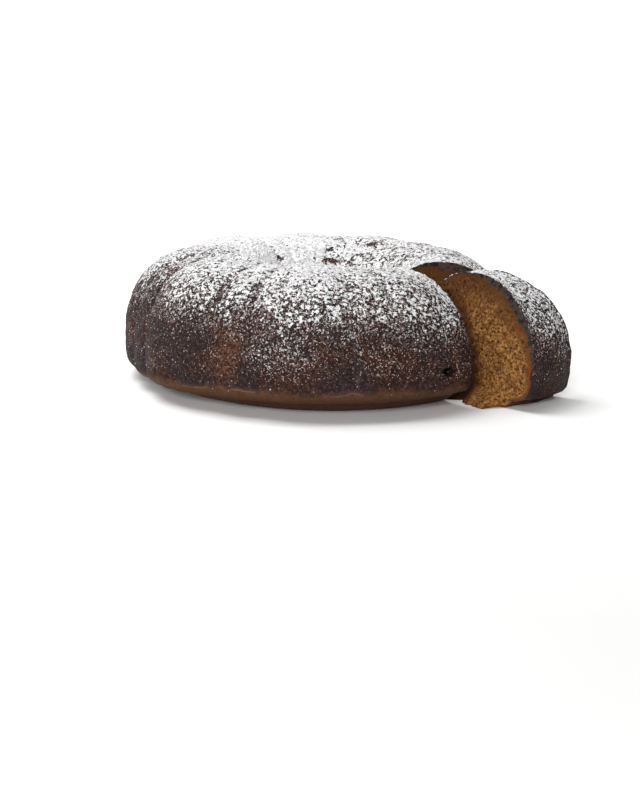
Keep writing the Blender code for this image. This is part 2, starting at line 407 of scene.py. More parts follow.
class StudioSettings(bpy.types.PropertyGroup):
    """Floor and lights"""

    floor_colour: colour("Floor", "#f3f3f2", "Plain pale floor and backdrop")
    key_watts: number("Key light", 13.5, "Large light above")
    fill_watts: number("Fill light", 20.5, "Soft light in front")
    backdrop_watts: number("Backdrop light", 90.0, "Light on the backdrop")
    room_strength: number("Room light", 0.14, "Even light all round")


def between(start, end, share):
    """The point at a share of the way from start to end."""
    return tuple(a + (b - a) * share for a, b in zip(start, end))


def ease(low, high, value):
    """0 up to low, 1 from high on, and smooth between them."""
    share = np.clip((value - low) / (high - low), 0.0, 1.0)
    return share * share * (3.0 - 2.0 * share)


def hump(away, reach, power=2):
    """1 where nothing is away, falling smoothly to 0 beyond a reach."""
    return np.exp(-(away / reach) ** power)


def round_by(azimuth, middle):
    """Degrees from the middle azimuth to this one, the short way round."""
    return (azimuth - middle + 180.0) % 360.0 - 180.0


def nearness(azimuth, middle, spread):
    """1 at the middle azimuth, falling smoothly to 0 round the ring."""
    return hump(round_by(azimuth, middle), spread)


def azimuth_of(place):
    """Degrees round the axis."""
    return math.degrees(math.atan2(place.y, place.x))


def polar(places):
    """Azimuths, distances from the axis and heights of some places."""
    x, y, z = places.T
    return np.degrees(np.arctan2(y, x)), np.hypot(x, y), z.copy()


def relief(places, layers):
    """Sum of noise layers at some places, each layer with its size, height and offset."""
    total = np.zeros(len(places))
    for size, height, offset in layers:
        total += height * np.array([noise.noise(Vector(place) / size + offset) for place in places])
    return total


def outline_stretches(crest_radius, radius, height, fullness, rest_radius):
    """The ring's closed outline in one turn from the base: for each stretch, the place at a share
    of it as (distance from the axis, height), and its number of steps."""
    rim_radius = radius - RIM_INSET
    throat_radius, throat_height = HOLE_THROAT
    rest_inner, rest_outer = (REST_INNER_RADIUS, 0.0), (rest_radius, 0.0)
    quarter = math.pi / 2.0

    def dome(share):
        return rest_radius + (rim_radius - rest_radius) * share, RIM_HEIGHT * share ** DOME_CURVE

    def rim(share):
        r = rim_radius + RIM_INSET * math.sin(quarter * share)
        return r, WIDEST_HEIGHT - (WIDEST_HEIGHT - RIM_HEIGHT) * math.cos(quarter * share)

    def wall(share):
        out = max(0.0, math.cos(quarter * share)) ** (2.0 / fullness)
        up = math.sin(quarter * share) ** (2.0 / fullness)
        r = crest_radius + (radius - crest_radius) * out
        return r, WIDEST_HEIGHT + (height - WIDEST_HEIGHT) * up

    def shoulder(share):
        r = crest_radius - (crest_radius - throat_radius) * math.sin(quarter * share)
        return r, throat_height + (height - throat_height) * math.cos(quarter * share)

    return (
        (dome, DOME_STEPS),
        (rim, RIM_STEPS),
        (wall, WALL_STEPS),
        (shoulder, SHOULDER_STEPS),
        (lambda share: between(HOLE_THROAT, HOLE_FOOT, share), HOLE_STEPS),
        (lambda share: between(HOLE_FOOT, rest_inner, share), FOOT_STEPS),
        (lambda share: between(rest_inner, rest_outer, share), BASE_STEPS),
    )


def even_shares(place, steps):
    """Shares of a stretch that divide its length evenly, without its end."""
    shares = np.linspace(0.0, 1.0, EVEN_SAMPLES)
    points = np.array([place(share) for share in shares])
    pieces = np.linalg.norm(np.diff(points, axis=0), axis=1)
    travelled = np.concatenate([[0.0], np.cumsum(pieces)])
    return np.interp(np.linspace(0.0, travelled[-1], steps + 1)[:-1], travelled, shares)


def outlines(shape):
    """The full outline and the sunken one near the cut, row for row."""
    full = outline_stretches(
        shape.crest_radius, shape.ring_radius, shape.ring_height, WALL_FULLNESS, REST_RADIUS)
    lean = outline_stretches(
        shape.crest_radius, LEAN_RADIUS, LEAN_HEIGHT, LEAN_FULLNESS, LEAN_REST_RADIUS)
    pairs = [
        (full_place(share), lean_place(share))
        for (full_place, steps), (lean_place, _) in zip(full, lean)
        for share in even_shares(full_place, steps)
    ]
    return [np.array(rows) for rows in zip(*pairs)]


def round_fall(across):
    """0 in the middle of a flute, rising as a rounded back does to almost 1 at its two grooves."""
    return 1.0 - np.sqrt(1.0 - FLUTE_ROUNDNESS * across ** 2)


def flute_depth(shape, azimuth):
    """How far the crust lies behind the tops of the broad flutes at these azimuths."""
    pitch = 360.0 / shape.flute_pairs
    along = ((azimuth - FLUTE_START) % pitch) / pitch
    across_broad = np.clip(2.0 * along / BROAD_SHARE - 1.0, -1.0, 1.0)
    across_narrow = np.clip(2.0 * (along - BROAD_SHARE) / (1.0 - BROAD_SHARE) - 1.0, -1.0, 1.0)
    broad = shape.broad_depth * round_fall(across_broad)
    narrow = NARROW_SET_BACK + NARROW_DEPTH * round_fall(across_narrow)
    depth = np.where(along < BROAD_SHARE, broad, narrow)
    return depth * (1.0 + DEEPEST_EXTRA * np.cos(np.radians(azimuth - DEEPEST_AZIMUTH)))


def flute_share(shape, r, z):
    """Flutes are whole on the wall and crest, and weaker at the rim and down the hole."""
    up = np.clip((z - RIM_HEIGHT) / (WIDEST_HEIGHT - RIM_HEIGHT), 0.0, 1.0)
    share = FLUTE_RIM_SHARE + (1.0 - FLUTE_RIM_SHARE) * up
    out = np.clip((r - HOLE_THROAT[0]) / (shape.crest_radius - HOLE_THROAT[0]), 0.0, 1.0)
    return share * (FLUTE_HOLE_SHARE + (1.0 - FLUTE_HOLE_SHARE) * out)


def rim_share(azimuth):
    """How much of its full height the underside of the wall keeps: all of it at the front."""
    spread = np.where(round_by(azimuth, RIM_FRONT_AZIMUTH) < 0.0, *RIM_FRONT_SPREADS)
    return RIM_LOW_SHARE + (1.0 - RIM_LOW_SHARE) * nearness(azimuth, RIM_FRONT_AZIMUTH, spread)


def lowered_rim(z, azimuth):
    """Bring the underside of the wall down, except at the front."""
    lowest = rim_share(azimuth)
    lowered = z * (lowest + (1.0 - lowest) * (z / WIDEST_HEIGHT) ** 2)
    return np.where(z < WIDEST_HEIGHT, lowered, z)


def crust_places(shape, row, azimuth):
    """Where points of the outline lie at their azimuths, fluted and uneven, about the ring's axis."""
    full_rows, lean_rows = outlines(shape)
    lean = nearness(azimuth, LEAN_MIDDLE, LEAN_SPREAD)[:, None]
    r, z = (full_rows[row] + (lean_rows[row] - full_rows[row]) * lean).T
    outwards = np.stack([np.cos(np.radians(azimuth)), np.sin(np.radians(azimuth))])
    uneven = relief(np.stack([*(r * outwards), z], axis=1), CRUST_RELIEF)
    loose = np.clip(z / RIM_HEIGHT, 0.0, 1.0)
    depth = loose * (flute_depth(shape, azimuth) * flute_share(shape, r, z) - uneven)
    core_r = r - shape.crest_radius
    core_z = np.maximum(0.0, z - WIDEST_HEIGHT)
    away = np.hypot(core_r, core_z)
    r = r - depth * core_r / away
    z = lowered_rim(z, azimuth) - depth * core_z / away
    level = 1.0 + LEVEL_SHARE * np.cos(np.radians(azimuth - HIGH_SIDE_AZIMUTH))
    return np.stack([*(r * outwards), np.maximum(z * level, 0.0)], axis=1)


def swept_cake(shape, first, last, columns):
    """The outline spun from the first azimuth to the last in coarse columns, with a narrow one
    beside each end, and closed there by a flat cut face."""
    builder = bmesh.new()
    row_layer = builder.verts.layers.float.new("row")
    start = math.radians(first)
    corners = []
    for row, (r, z) in enumerate(outlines(shape)[0]):
        corner = builder.verts.new((r * math.cos(start), r * math.sin(start), z))
        corner[row_layer] = row
        corners.append(corner)
    cut_face = builder.faces.new(corners)
    swept = [cut_face, *cut_face.edges, *corners]
    for angle, steps in ((COLLAR, 1), (last - first - 2.0 * COLLAR, columns), (COLLAR, 1)):
        swept = bmesh.ops.spin(
            builder, geom=swept, cent=(0.0, 0.0, 0.0), axis=UP,
            angle=math.radians(angle), steps=steps, use_merge=False, use_duplicate=False,
        )["geom_last"]
    bmesh.ops.recalc_face_normals(builder, faces=builder.faces[:])
    for face in builder.faces:
        face.material_index = CUT if len(face.verts) > 4 else CRUST
        face.smooth = True
    put_in_order(builder)
    return builder


def put_in_order(builder):
    """Order the edges and faces by their corners, and the ends of each edge, because spin leaves them
    in an order that changes from run to run."""
    builder.verts.index_update()
    count = len(builder.verts)

    def order(part):
        lowest = sorted(corner.index for corner in part.verts)[:3]
        return sum(index * count ** place for place, index in enumerate(lowest))

    builder.edges.sort(key=order)
    builder.faces.sort(key=order)
    mesh = bpy.data.meshes.new("swept_cake")
    builder.to_mesh(mesh)
    ends = np.empty(len(mesh.edges) * 2, dtype=np.int32)
    mesh.edges.foreach_get("vertices", ends)
    mesh.edges.foreach_set("vertices", np.sort(ends.reshape(-1, 2), axis=1).ravel())
    builder.clear()
    builder.from_mesh(mesh)
    bpy.data.meshes.remove(mesh)


def shape_crust(shape, builder, corners):
    """Move corners of the swept outline to their places on the fluted, uneven crust."""
    row_layer = builder.verts.layers.float["row"]
    rows = np.array([round(corner[row_layer]) for corner in corners])
    azimuths = np.array([azimuth_of(corner.co) for corner in corners])
    for corner, place in zip(corners, crust_places(shape, rows, azimuths)):
        corner.co = place


def of_type(parts, kind):
    """Those parts of a mesh that are of one kind."""
    return [part for part in parts if isinstance(part, kind)]


def divide_columns(shape, builder):
    """Divide the coarse columns of the crust evenly, and shape the corners that come between."""
    row_layer = builder.verts.layers.float["row"]
    across = []
    for edge in builder.edges:
        one, other = edge.verts
        wide = abs(round_by(azimuth_of(one.co), azimuth_of(other.co))) > 1.5 * COLLAR
        if wide and one[row_layer] == other[row_layer]:
            across.append(edge)
    divided = bmesh.ops.subdivide_edges(builder, edges=across, cuts=COLUMN_CUTS)
    shape_crust(shape, builder, of_type(divided["geom_inner"], bmesh.types.BMVert))


def cut_by_planes(builder, faces, direction, spacing):
    """Cut faces by parallel planes about a spacing apart, and return the faces that result."""
    reach = [corner.co.dot(direction) for face in faces for corner in face.verts]
    count = round((max(reach) - min(reach)) / spacing)
    waiting, done = list(faces), []
    for step in range(1, count):
        level = min(reach) + (max(reach) - min(reach)) * step / count
        whole = dict.fromkeys(part for face in waiting for part in (face, *face.edges, *face.verts))
        result = bmesh.ops.bisect_plane(
            builder, geom=list(whole), dist=1e-6, plane_co=direction * level, plane_no=direction,
        )
        cut = of_type(result["geom"], bmesh.types.BMFace)
        waiting = [face for face in cut if face.calc_center_median().dot(direction) > level]
        done += [face for face in cut if face.calc_center_median().dot(direction) <= level]
    return done + waiting


def finely_cut(builder, spacing):
    """Divide each flat cut face into small squares, clipped at the crust. Returns lists of faces."""
    divided = []
    for end in [face for face in builder.faces if face.material_index == CUT]:
        middle = end.calc_center_median()
        strips = cut_by_planes(builder, [end], Vector((middle.x, middle.y, 0.0)).normalized(), spacing)
        divided.append(cut_by_planes(builder, strips, UP, spacing))
    return divided


def pore_depth(place):
    """How deep a pore is at a place on a cut face, and 0 outside pores."""
    depth = 0.0
    for cell, deepest, share in PORES:
        distances, seeds = noise.voronoi(Vector(place) / cell)
        wide = share * (0.70 + 0.30 * noise.cell(seeds[0] * PORE_DRAW))
        inside = 1.0 - distances[0] / wide
        if inside > 0.0:
            depth = max(depth, deepest * math.sqrt(inside))
    return depth


def crumbled_foot(place, normal, tongues):
    """How a place low on a cut face lies out of it: crumbs stand out at the foot or lie back, with
    notches between, and torn tongues of crumb spread from it, each given as how far and the radius."""
    near_foot = float(ease(FOOT_REACH, 0.0, place.z))
    crumb = noise.noise(place / FOOT_CRUMB + OFFSET) + 0.4 * noise.noise(place / (0.3 * FOOT_CRUMB))
    notch = float(ease(*NOTCH_LEVELS, noise.noise(place / (0.6 * FOOT_CRUMB) - OFFSET)))
    rise = FOOT_NOTCH * notch * float(ease(2.0 * FOOT_NOTCH, 0.0, place.z))
    r = math.hypot(place.x, place.y)
    spread = sum(out * hump(r - middle, TONGUE_REACH, 4) for out, middle in tongues)
    return normal * float(near_foot * (spread + FOOT_OUT * crumb)) + UP * rise


def roughen_cut(faces, layers, thick_from, tongues):
    """Give a cut face its torn, porous crumb. Its outer edge stays where the crust ends, and its
    foot crumbles and spreads out. Its crust is thin towards the hole, and thick from a radius on."""
    normal = faces[0].normal.copy()
    corners = list(dict.fromkeys(corner for face in faces for corner in face.verts))
    edge = [c for c in corners if any(f.material_index == CRUST for f in c.link_faces)]
    rim = [corner for corner in edge if corner.co.z > 0.5 * MM]
    tree = kdtree.KDTree(len(rim))
    for index, corner in enumerate(rim):
        tree.insert(corner.co, index)
    tree.balance()
    held = set(rim)
    moves = []
    for corner, lift in zip(corners, relief([corner.co for corner in corners], CUT_RELIEF)):
        near, _, away = tree.find(corner.co)
        outer = float(ease(thick_from - THICKENS_OVER, thick_from, math.hypot(near.x, near.y)))
        uneven = 1.0 + 0.6 * noise.noise(near / THICKNESS_SWELLS)
        thick = np.interp(near.z, CRUST_HEIGHTS, CRUST_THICKNESSES) * uneven
        corner[layers["crust_depth"]] = away / (INNER_THICKNESS + (thick - INNER_THICKNESS) * outer)
        corner[layers["height"]] = corner.co.z
        freedom = 0.0 if corner in held else float(ease(0.0, HELD_WITHIN, away))
        depth = pore_depth(corner.co) * freedom
        # How deep the pore is; the crumb is painted dark there as shade.
        corner[layers["pore"]] = depth / MM
        moves.append((normal * (lift - depth) + crumbled_foot(corner.co, normal, tongues)) * freedom)
    for corner, move in zip(corners, moves):
        corner.co += move


def hollow_out(builder, cavity, hollow_layer):
    """Sink one cavity into the outer crust, with finer faces round its mouth."""
    azimuth, height, width, tall, depth = cavity
    turn = math.radians(azimuth)
    outwards = Vector((math.cos(turn), math.sin(turn), 0.0))
    sideways = UP.cross(outwards)

    def aside(place):
        return 2.0 * math.hypot(place.dot(sideways) / width, (place.z - height) / tall)

    close = [
        face for face in builder.faces
        if face.material_index == CRUST and len(face.verts) == 4
        and face.calc_center_median().dot(outwards) > REST_RADIUS
        and aside(face.calc_center_median()) < CAVITY_SURROUNDINGS
    ]
    edges = list(dict.fromkeys(edge for face in close for edge in face.edges))
    bmesh.ops.subdivide_edges(builder, edges=edges, cuts=CAVITY_DIVISIONS, use_grid_fill=True)
    for corner in builder.verts:
        if corner.co.dot(outwards) < REST_RADIUS or abs(corner.co.z - height) > width:
            continue
        ragged = aside(corner.co) * (1.0 + 0.35 * noise.noise(corner.co / CAVITY_GRIT))
        if ragged < CAVITY_EDGE:
            # Inside the mouth it takes no sugar, and is painted dark as shade.
            corner[hollow_layer] = float(1.0 - ease(CAVITY_SHADED, CAVITY_EDGE, ragged))
            corner.co -= outwards * (depth * float(1.0 - ease(CAVITY_FLOOR, CAVITY_EDGE, ragged)))


def store(mesh, name, values):
    """Keep one number per vertex for the materials."""
    attribute = mesh.attributes.new(name, "FLOAT", "POINT")
    attribute.data.foreach_set("value", np.asarray(values, dtype=np.float32))


def vertex_array(mesh, what):
    """The places or normals of a mesh's vertices, as an array."""
    values = np.empty(len(mesh.vertices) * 3, dtype=np.float32)
    if what == "normal":
        mesh.vertex_normals.foreach_get("vector", values)
    else:
        mesh.vertices.foreach_get("co", values)
    return values.reshape(-1, 3).astype(float)


def kept_number(mesh, name):
    """The values of one number per vertex, as an array."""
    values = np.empty(len(mesh.vertices), dtype=np.float32)
    mesh.attributes[name].data.foreach_get("value", values)
    return values.astype(float)


def sugared_share(shape, places, tilts, from_cut):
    """The share of the crust that sugar covers round each vertex. It fell from above: most of it lies
    on the top and less and less down the wall, more on what faces up, in drifts and thin patches."""
    azimuth, r, z = polar(places)
    crest = ease(0.0, 2.0 * CREST_REACH, shape.crest_radius + CREST_REACH - r)
    wall = np.interp(z, WALL_HEIGHTS, WALL_SHARES)
    shoulder = np.interp(r, SHOULDER_RADII, SHOULDER_SHARES) * ease(*HOLE_SUGARED, z)
    share = wall + (shoulder - wall) * crest
    for middle, spread, height, reach, change in DRIFTS:
        share += change * nearness(azimuth, middle, spread) * hump(z - height, reach)
    folds = np.clip(1.0 - np.abs(relief(places, FOLDS)) / FOLD_WIDTH, 0.0, 1.0)
    share -= FOLD_LOSS * folds * crest * nearness(azimuth, FOLD_AZIMUTH, FOLD_SPREAD)
    patches = relief(places, SUGAR_PATCHES)
    grooves = ease(*GROOVE_DEPTHS, flute_depth(shape, azimuth) / shape.broad_depth)
    share -= GROOVE_LOSS * grooves * ease(*GROOVE_HEIGHTS, z) * np.clip(1.0 - 8.0 * patches, 0.0, 2.0)
    level = np.clip(tilts - np.interp(z, TILT_HEIGHTS, USUAL_TILTS), -0.5, 0.5)
    change = patches + TILT_CHANGE * level * (1.0 - crest)
    share += change * 2.0 * np.sqrt(np.clip(share * (1.0 - share), 0.0, 0.25))
    bare = ease(*EDGE_SUGARED, from_cut + relief(places, SUGAR_EDGE))
    lying = ease(*LYING_TILTS, tilts) * ease(*LYING_HEIGHTS, z)
    return np.clip(share, LEAST_SHARE, MOST_SHARE) * (bare + (1.0 - bare) * crest) * lying


def pattern_levels():
    """Shares of a surface, and for each the value that the sugar's pattern is above over that share."""
    shares = [0.01, *np.linspace(0.05, 0.95, 19), 0.99]
    values = NormalDist(PATTERN_MIDDLE, PATTERN_SPREAD)
    return [0.0, *shares], [PATTERN_TOP, *(values.inv_cdf(1.0 - share) for share in shares)]


def keep_for_materials(mesh, shape, first, last, bare):
    """Store what the materials read, while the mesh still stands about the ring's axis. The sugar
    leaves a bare strip beside each cut, bare[0] wide beside the first and bare[1] beside the last."""
    places, hollow = vertex_array(mesh, "co"), kept_number(mesh, "hollow")
    azimuth, r, z = polar(places)
    per_degree = r * math.radians(1.0)
    from_first = ((azimuth - first) % 360.0) * per_degree / bare[0]
    from_last = ((last - azimuth) % 360.0) * per_degree / bare[1]
    from_cut = np.minimum(from_first, from_last)
    share = sugared_share(shape, places, vertex_array(mesh, "normal")[:, 2], from_cut) * (1.0 - hollow)
    painted = 1.0 - (1.0 - share) / (1.0 - CLUMP_SHARE * share ** CLUMP_POWER)
    turned_up = hump(round_by(azimuth, STRIP_AZIMUTH), STRIP_SPREAD, 4)
    rise = z - RIM_HEIGHT * rim_share(azimuth) + STRIP_FALL * (1.0 - turned_up)
    for middle, spread, lift in STRIP_LIFTS:
        rise -= lift * nearness(azimuth, middle, spread)
    ruddy = nearness(azimuth, RUDDY_AZIMUTH, RUDDY_SPREAD) * hump(z - RUDDY_HEIGHT, RUDDY_REACH)
    clean = DUST_CLEAN * (nearness(azimuth, CLEAN_AZIMUTH, CLEAN_SPREAD) + ruddy) + hollow
    # Browner towards the top; browner and painted with shade towards the hole; painted darker still as
    # shade low at the foot, in the gap between the pieces.
    inner = np.interp(z, INNER_BROWN_SHADE_HEIGHTS, INNER_BROWN_SHADE_RADII)
    baked = np.maximum(ease(*BROWNED_HEIGHTS, z), ease(INNER_BROWN_SHADE_FADE, 0.0, r - inner))
    store(mesh, "sugar_share", share)
    store(mesh, "sugar_level", np.interp(painted, *pattern_levels()))
    store(mesh, "rim_rise", rise)
    store(mesh, "dust_level", np.interp(rise, DUST_RISES, DUST_LEVELS) + clean)
    store(mesh, "ruddy", ruddy)
    store(mesh, "baked", baked + ease(*FOOT_SHADE_HEIGHTS, z) * ease(*FOOT_SHADE_RADII, r))


def settle_slice(mesh):
    """Bring the slice's outer foot down and its wall out, and push its near cut face out at its
    foot, and what is behind it less and less."""
    places = vertex_array(mesh, "co")
    azimuth, r, z = polar(places)
    share = (SLICE_TO - azimuth) / (SLICE_TO - SLOT_FROM)
    bulge = (1.0 - share) * hump(z - BULGE_HEIGHT, BULGE_REACH) * ease(*BULGE_RADII, r)
    outer, far = ease(*OUTER_FOOT_RADII, r), ease(*FAR_SHARES, share)
    out = SLICE_BULGE * bulge + SLICE_SPREAD * ease(*SPREAD_HEIGHTS, z) * outer * far
    places[:, :2] *= (1.0 + out / r)[:, None]
    settled = SLICE_SETTLE * (FRONT_SETTLE_SHARE + (1.0 - FRONT_SETTLE_SHARE) * far)
    places[:, 2] = np.maximum(0.0, z - settled * ease(WIDEST_HEIGHT, SETTLED_BELOW, z) * outer)
    aside = np.array([math.sin(math.radians(SLOT_FROM)), -math.cos(math.radians(SLOT_FROM)), 0.0])
    places += aside * (SLICE_SLANT * share * (LEAN_HEIGHT - z))[:, None]
    mesh.vertices.foreach_set("co", places.astype(np.float32).ravel())


def cake_mesh(name, shape, first, last, columns, spacing, bare, cuts):
    """One piece of the cake from its first azimuth to its last, about the ring's axis."""
    builder = swept_cake(shape, first, last, columns)
    shape_crust(shape, builder, builder.verts[:])
    names = ("pore", "crust_depth", "height", "hollow")
    layers = {key: builder.verts.layers.float.new(key) for key in names}
    for faces, (thick_from, tongues) in zip(finely_cut(builder, spacing), cuts):
        roughen_cut(faces, layers, thick_from, tongues)
    divide_columns(shape, builder)
    for cavity in CAVITIES:
        if first < cavity[0] % 360.0 < last:
            hollow_out(builder, cavity, builder.verts.layers.float["hollow"])
    mesh = bpy.data.meshes.new(name)
    builder.to_mesh(mesh)
    builder.free()
    mesh.update()
    keep_for_materials(mesh, shape, first, last, bare)
    return mesh


def add_object(name, data):
    """Put a new object in the scene."""
    added = bpy.data.objects.new(name, data)
    bpy.context.scene.collection.objects.link(added)
    return added


def add_cake(mesh, placing):
    """Put a piece of the cake in its place in the frame, with its crust and crumb."""
    mesh.transform(Matrix.Translation(AXIS) @ placing)
    for maker in (crust_material, crumb_material):
        mesh.materials.append(shared(maker))
    mesh.set_sharp_from_angle(angle=math.radians(SHARP_FROM))
    cake = add_object(mesh.name, mesh)
    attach(cake, BODY)
    return cake


MADE = {}


def shared(maker):
    """The cake's material from one maker, made only once."""
    if maker not in MADE:
        MADE[maker] = maker(bpy.context.scene.cake_finish)
    return MADE[maker]


def add_node(tree, kind, inputs, **settings):
    """Add one node with its settings. Each input is a value, or an output to link it to."""
    node = tree.nodes.new(kind)
    for key, value in settings.items():
        setattr(node, key, value)
    for socket, value in inputs.items():
        if isinstance(value, bpy.types.NodeSocket):
            tree.links.new(value, node.inputs[socket])
        else:
            node.inputs[socket].default_value = value
    return node


def new_material(name):
    """An empty material with its shader and the object coordinates."""
    material = bpy.data.materials.new(name)
    material.use_nodes = True
    tree = material.node_tree
    tree.nodes.clear()
    shader = add_node(tree, "ShaderNodeBsdfPrincipled", {})
    add_node(tree, "ShaderNodeOutputMaterial", {"Surface": shader.outputs["BSDF"]})
    where = add_node(tree, "ShaderNodeTexCoord", {}).outputs["Object"]
    return material, tree, shader, where


def readings(tree, where, kinds, *kept):
    """What a material goes by, by name: noise patterns, each given as how far apart its patches are,
    detail and roughness, and numbers kept on the vertices."""
    found = {}
    for name, (apart, detail, roughness) in kinds.items():
        inputs = {"Vector": where, "Scale": 1.0 / apart, "Detail": detail, "Roughness": roughness}
        found[name] = add_node(tree, "ShaderNodeTexNoise", inputs).outputs["Fac"]
    for name in kept:
        found[name] = add_node(tree, "ShaderNodeAttribute", {}, attribute_name=name).outputs["Fac"]
    return found


def layered(tree, seen, under, *layers):
    """Lay tints over a colour, one after another. Each has its guide, the values of that where none
    and most of the tint shows, and how much that is. A guide is a known name or an output."""
    for tint, guide, start, full, most in layers:
        inputs = {"Value": seen.get(guide, guide), "From Min": start, "From Max": full, "To Max": most}
        share = add_node(tree, "ShaderNodeMapRange", inputs, interpolation_type="SMOOTHSTEP")
        inputs = {0: share.outputs["Result"], 6: under, 7: tint}
        under = add_node(tree, "ShaderNodeMix", inputs, data_type="RGBA").outputs[2]
    return under


def crust_material(finish):
    """Browned cake crust: dark brown with a greyish plum bloom, gritty and matt, paler and redder in
    places, and tan on the underside. Icing sugar lies on it as fine powder, broken up by bare gaps."""
    material, tree, shader, where = new_material("browned_cake_crust_with_sugar_dust")
    seen = readings(tree, where, {
        "patches": (26.0 * MM, 3.0, 0.5),
        "blotches": (6.0 * MM, 3.0, 0.6),
        "mottle": (2.0 * MM, 2.0, 0.6),
        "grit": (1.6 * MM, 2.0, 0.65),
        "wrinkles": (4.0 * MM, 4.0, 0.65),
        "waves": (17.0 * MM, 2.0, 0.45),
        "sugar": (1.9 * MM, 2.0, 0.65),
        "fine_sugar": (1.2 * MM, 2.0, 0.65),
        "dust": (0.85 * MM, 1.0, 0.5),
    }, "sugar_level", "dust_level", "sugar_share", "rim_rise", "ruddy", "hollow")

    # The browned wall, flecked where sugar soaked in
    reddened = add_node(tree, "ShaderNodeMath", {
        0: seen["ruddy"], 1: seen["mottle"],
    }, operation="MULTIPLY").outputs[0]
    dusted = add_node(tree, "ShaderNodeMapRange", {
        "Value": seen["sugar_share"], "From Max": 0.20, "To Min": 0.06, "To Max": 0.80,
    }).outputs["Result"]
    crust = layered(
        tree, seen, finish.crust_brown,
        (finish.crust_plum, "patches", 0.40, 0.60, 0.85),
        (finish.crust_ruddy, "blotches", 0.54, 0.72, 0.25),
        (finish.crust_ruddy, reddened, 0.14, 0.50, 1.0),
        (finish.crust_black, "mottle", 0.52, 0.36, 0.60),
        (finish.crust_shade, "sugar_share", 0.08, 0.40, 0.85),
        (finish.crust_black, "grit", 0.52, 0.45, 0.80),
        (finish.crust_fleck, "grit", 0.535, 0.61, dusted),
    )

    # The smooth tan underside, up to a waving, wrinkled border
    base = layered(
        tree, seen, finish.base_brown,
        (finish.base_tan, "rim_rise", 0.0, 0.008, 1.0),
        (finish.crust_ruddy, "blotches", 0.50, 0.66, 0.5),
        (finish.base_brown, "wrinkles", 0.46, 0.60, 0.9),
        (finish.crust_black, "wrinkles", 0.42, 0.30, 0.7),
    )
    waving = add_node(tree, "ShaderNodeMath", {
        0: seen["waves"], 1: 0.010, 2: seen["rim_rise"],
    }, operation="MULTIPLY_ADD").outputs[0]
    border = add_node(tree, "ShaderNodeMath", {
        0: waving, 1: 0.0120, 2: 0.0004,
    }, operation="COMPARE").outputs[0]
    partly = add_node(tree, "ShaderNodeMapRange", {
        "Value": seen["patches"], "From Min": 0.50, "From Max": 0.60, "To Max": 0.7,
    }).outputs["Result"]

    # Sugar: fine specks on the wall, and powder that is coarser where more lies
    speckled = add_node(tree, "ShaderNodeMath", {
        0: seen["patches"], 1: -0.27, 2: seen["dust"],
    }, operation="MULTIPLY_ADD").outputs[0]
    specks = add_node(tree, "ShaderNodeMath", {
        0: speckled, 1: seen["dust_level"],
    }, operation="SUBTRACT").outputs[0]
    coarse = add_node(tree, "ShaderNodeMapRange", {
        "Value": seen["sugar_share"], "From Min": 0.12, "From Max": 0.28,
    }).outputs["Result"]
    grained = add_node(tree, "ShaderNodeMix", {
        0: coarse, 2: seen["fine_sugar"], 3: seen["sugar"],
    }).outputs[0]
    above = add_node(tree, "ShaderNodeMath", {
        0: grained, 1: seen["sugar_level"],
    }, operation="SUBTRACT").outputs[0]
    powder = add_node(tree, "ShaderNodeMapRange", {
        "Value": above, "From Min": -0.018, "From Max": 0.022,
    }, interpolation_type="SMOOTHSTEP").outputs["Result"]
    white = layered(
        tree, seen, finish.sugar_white,
        (finish.sugar_grey, "grit", 0.54, 0.42, 0.7),
        (finish.sugar_grey, "sugar_share", 0.40, 0.05, 0.28),
    )
    crust = layered(
        tree, seen, crust,
        (base, waving, 0.0155, 0.0108, 1.0),
        (finish.base_ridge, border, 0.0, 1.0, partly),
        # Painted shade inside a cavity, in the darkest crust colour.
        (finish.crust_black, "hollow", 0.10, 0.60, 1.0),
        (finish.sugar_dust, specks, 0.0, 0.035, 0.85),
        (white, powder, 0.0, 1.0, 1.0),
    )

    # How it feels: uneven, gritty, and heaped with powder, which is more matt
    roughness = add_node(tree, "ShaderNodeMapRange", {"Value": powder, "To Min": 0.70, "To Max": 0.95})
    uneven = add_node(tree, "ShaderNodeBump", {
        "Strength": 0.9, "Distance": 0.35 * MM, "Height": seen["mottle"],
    })
    gritty = add_node(tree, "ShaderNodeBump", {
        "Strength": 0.7, "Distance": 0.30 * MM, "Height": seen["grit"],
        "Normal": uneven.outputs["Normal"],
    })
    heaped = add_node(tree, "ShaderNodeBump", {
        "Strength": 0.8, "Distance": 0.30 * MM, "Height": powder, "Normal": gritty.outputs["Normal"],
    })
    tree.links.new(crust, shader.inputs["Base Color"])
    tree.links.new(roughness.outputs["Result"], shader.inputs["Roughness"])
    tree.links.new(heaped.outputs["Normal"], shader.inputs["Normal"])
    shader.inputs["Specular IOR Level"].default_value = 0.15
    return material


